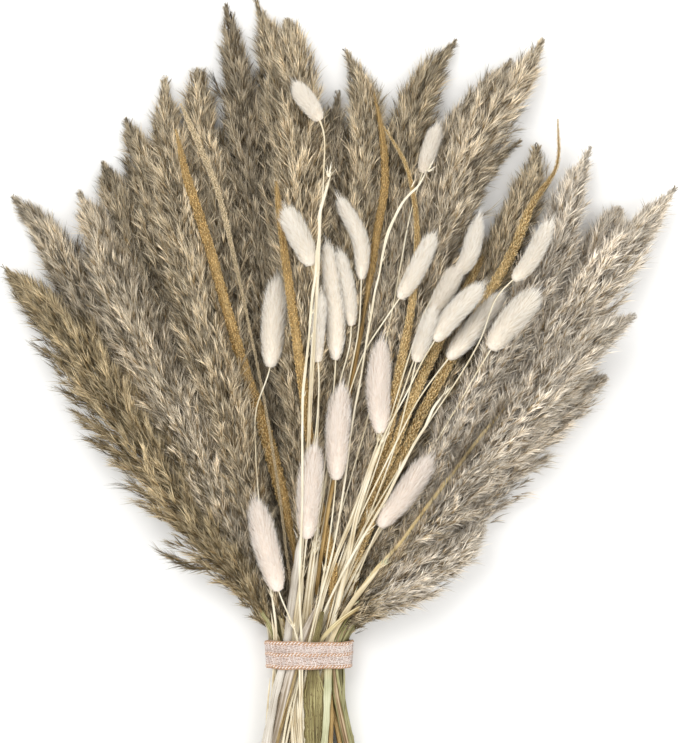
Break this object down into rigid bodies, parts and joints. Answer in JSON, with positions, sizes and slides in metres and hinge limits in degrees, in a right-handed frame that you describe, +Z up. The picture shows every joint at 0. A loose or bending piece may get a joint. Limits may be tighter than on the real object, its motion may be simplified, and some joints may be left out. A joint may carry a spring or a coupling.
{
  "type": "tied bundle of dried grasses",
  "caption": "Bundle of dried reed plumes, golden foxtail spikes, bunny tails and bleached straws, tied at the neck with a woven ribbon and lying flat, for display.",
  "frame": {"origin": "middle of the bundle's outline on the surface it lies on", "axes": "+Y from the cut stem ends towards the plume tips, +Z up from the surface, +X to the right when seen from above with the tips pointing away"},
  "size_m": [0.3746, 0.459, 0.0668],
  "materials": {
    "reed_plume": "fine dry grey-brown seed hairs on a straw-coloured stalk, matte",
    "golden_spike": "rough golden-ochre seed heads, matte",
    "pale_spike": "pale straw-coloured seed head, matte",
    "bunny_tail": "soft cream fuzz on a thin cream stem, matte",
    "bleached_straw": "bleached flat straw, off-white, slightly glossy",
    "pale_stalk": "bleached round stalk, pinkish white, satin",
    "reed_blade": "straw-yellow reed, satin",
    "olive_leaf": "dry olive leaf with brown flecks, satin",
    "ribbon": "open weave in pinkish white with three peach thread rows, matte"
  },
  "bodies": {
    "root": {"bunny_tail_01": "bunny_tail", "bunny_tail_02": "bunny_tail", "bunny_tail_03": "bunny_tail", "bunny_tail_04": "bunny_tail", "bunny_tail_05": "bunny_tail", "bunny_tail_06": "bunny_tail", "bunny_tail_07": "bunny_tail", "bunny_tail_08": "bunny_tail", "bunny_tail_09": "bunny_tail", "bunny_tail_10": "bunny_tail", "bunny_tail_11": "bunny_tail", "bunny_tail_12": "bunny_tail", "bunny_tail_13": "bunny_tail", "bunny_tail_14": "bunny_tail", "bunny_tail_15": "bunny_tail", "bunny_tail_16": "bunny_tail", "bunny_tail_17": "bunny_tail", "bunny_tail_18": "bunny_tail", "bunny_tail_19": "bunny_tail", "bunny_tail_20": "bunny_tail", "bunny_tail_21": "bunny_tail", "gold_spike_01": "golden_spike", "gold_spike_02": "golden_spike", "gold_spike_03": "golden_spike", "gold_spike_04": "golden_spike", "gold_spike_05": "golden_spike", "gold_spike_06": "golden_spike", "olive_leaf_01": "olive_leaf", "pale_spike_01": "pale_spike", "pale_stalk_01": "pale_stalk", "reed_plume_01": "reed_plume", "reed_plume_02": "reed_plume", "reed_plume_03": "reed_plume", "reed_plume_04": "reed_plume", "reed_plume_05": "reed_plume", "reed_plume_06": "reed_plume", "reed_plume_07": "reed_plume", "reed_plume_08": "reed_plume", "reed_plume_09": "reed_plume", "reed_plume_10": "reed_plume", "reed_plume_11": "reed_plume", "reed_plume_12": "reed_plume", "reed_plume_13": "reed_plume", "reed_plume_14": "reed_plume", "reed_plume_15": "reed_plume", "reed_plume_16": "reed_plume", "reed_plume_17": "reed_plume", "reed_plume_18": "reed_plume", "reed_plume_19": "reed_plume", "reed_plume_20": "reed_plume", "reed_plume_21": "reed_plume", "reed_plume_22": "reed_plume", "reed_plume_23": "reed_plume", "reed_plume_24": "reed_plume", "ribbon": "ribbon", "straw_blade_01": "reed_blade", "straw_blade_02": "reed_blade", "white_straw_01": "bleached_straw", "white_straw_02": "bleached_straw", "white_straw_03": "bleached_straw"}
  },
  "joints": []
}
